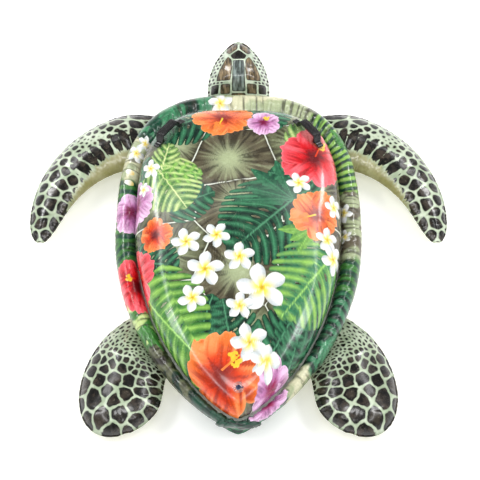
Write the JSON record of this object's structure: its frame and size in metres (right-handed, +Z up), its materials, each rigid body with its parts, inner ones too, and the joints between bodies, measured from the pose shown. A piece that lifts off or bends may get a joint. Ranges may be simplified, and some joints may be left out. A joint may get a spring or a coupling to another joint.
{
  "type": "inflatable pool float",
  "caption": "Ride-on inflatable sea turtle with a domed carapace, puffed rim, banana-shaped front flippers, paddle rear flippers, pitched head, grab handles and push-in valves.",
  "frame": {"origin": "middle of the footprint, on the surface that the float lies on", "axes": "+Y towards the head, +Z up, +X to the turtle's right-hand side as seen from behind"},
  "size_m": [1.6148, 1.6635, 0.3508],
  "materials": {
    "carapace_print": "glossy printed vinyl film",
    "rim_print": "glossy printed vinyl film",
    "belly_film": "glossy pale vinyl film",
    "inner_film": "plain vinyl film, inside",
    "flipper_print": "glossy vinyl film printed with scales",
    "flipper_belly_print": "glossy vinyl film printed with pale scales",
    "head_print": "glossy vinyl film printed with scutes",
    "head_belly_print": "glossy vinyl film printed with pale scales",
    "grip_black": "glossy moulded vinyl",
    "patch_clear": "clear vinyl reinforcement",
    "valve_clear": "translucent moulded vinyl",
    "valve_plug": "moulded vinyl"
  },
  "bodies": {
    "float": {"carapace_panel": "carapace_print", "deck_panel": "inner_film", "rim_upper_panel": "rim_print", "rim_lower_panel": "rim_print", "hull_side_panel": "belly_film", "hull_bottom_panel": "belly_film", "hull_baffle_1": "inner_film", "hull_baffle_2": "inner_film", "hull_baffle_3": "inner_film", "hull_baffle_4": "inner_film", "hull_baffle_5": "inner_film", "left_handle_grip": "grip_black", "left_handle_patch": "patch_clear", "right_handle_grip": "grip_black", "right_handle_patch": "patch_clear", "carapace_valve_flange": "valve_clear", "hull_valve_flange": "valve_clear"},
    "head": {"head_upper_panel": "head_print", "head_lower_panel": "head_belly_print"},
    "front_left_flipper": {"front_left_flipper_upper": "flipper_print", "front_left_flipper_lower": "flipper_belly_print"},
    "front_right_flipper": {"front_right_flipper_upper": "flipper_print", "front_right_flipper_lower": "flipper_belly_print"},
    "rear_left_flipper": {"rear_left_flipper_upper": "flipper_print", "rear_left_flipper_lower": "flipper_belly_print"},
    "rear_right_flipper": {"rear_right_flipper_upper": "flipper_print", "rear_right_flipper_lower": "flipper_belly_print"},
    "carapace_valve_stem": {"carapace_valve_stem": "valve_clear"},
    "carapace_valve_flap": {"carapace_valve_flap": "valve_clear"},
    "carapace_valve_plug": {"carapace_valve_plug": "valve_plug", "carapace_valve_tether": "valve_clear"},
    "hull_valve_stem": {"hull_valve_stem": "valve_clear"},
    "hull_valve_flap": {"hull_valve_flap": "valve_clear"},
    "hull_valve_plug": {"hull_valve_plug": "valve_plug", "hull_valve_tether": "valve_clear"}
  },
  "joints": [
    {"name": "head_nod", "type": "hinge", "parent": "float", "child": "head", "pos_m": [0, 0.54848, 0.084], "axis": [1, 0, 0], "range_deg": [-12, 4], "stiffness_Nm_per_rad": 8},
    {"name": "front_left_flipper_flap", "type": "hinge", "parent": "float", "child": "front_left_flipper", "pos_m": [-0.332, 0.443, 0.092], "axis": [0.3, 0.9539, 0], "range_deg": [-6, 12], "stiffness_Nm_per_rad": 12},
    {"name": "rear_left_flipper_flap", "type": "hinge", "parent": "float", "child": "rear_left_flipper", "pos_m": [-0.329, -0.458, 0.092], "axis": [-0.6303, 0.7764, 0], "range_deg": [-5, 12], "stiffness_Nm_per_rad": 10},
    {"name": "front_right_flipper_flap", "type": "hinge", "parent": "float", "child": "front_right_flipper", "pos_m": [0.332, 0.443, 0.092], "axis": [0.3, -0.9539, 0], "range_deg": [-6, 12], "stiffness_Nm_per_rad": 12},
    {"name": "rear_right_flipper_flap", "type": "hinge", "parent": "float", "child": "rear_right_flipper", "pos_m": [0.329, -0.458, 0.092], "axis": [-0.6303, -0.7764, 0], "range_deg": [-5, 12], "stiffness_Nm_per_rad": 10},
    {"name": "carapace_valve_stem_slide", "type": "slide", "parent": "float", "child": "carapace_valve_stem", "axis": [0, -0.2419, 0.9703], "range_m": [0, 0.014], "stiffness_N_per_m": 20},
    {"name": "carapace_valve_plug_slide", "type": "slide", "parent": "carapace_valve_stem", "child": "carapace_valve_plug", "axis": [0, -0.2419, 0.9703], "range_m": [0, 0.016], "stiffness_N_per_m": 20},
    {"name": "carapace_valve_flap_hinge", "type": "hinge", "parent": "carapace_valve_stem", "child": "carapace_valve_flap", "pos_m": [0, -0.69933, 0.24955], "axis": [1, 0, 0], "range_deg": [0, 55], "stiffness_Nm_per_rad": 0.01},
    {"name": "hull_valve_stem_slide", "type": "slide", "parent": "float", "child": "hull_valve_stem", "axis": [-1, 0, 0], "range_m": [0, 0.014], "stiffness_N_per_m": 20},
    {"name": "hull_valve_plug_slide", "type": "slide", "parent": "hull_valve_stem", "child": "hull_valve_plug", "axis": [-1, 0, 0], "range_m": [0, 0.016], "stiffness_N_per_m": 20},
    {"name": "hull_valve_flap_hinge", "type": "hinge", "parent": "hull_valve_stem", "child": "hull_valve_flap", "pos_m": [-0.4187, -0.0175, 0.07], "axis": [0, 0, 1], "range_deg": [0, 55], "stiffness_Nm_per_rad": 0.01}
  ]
}
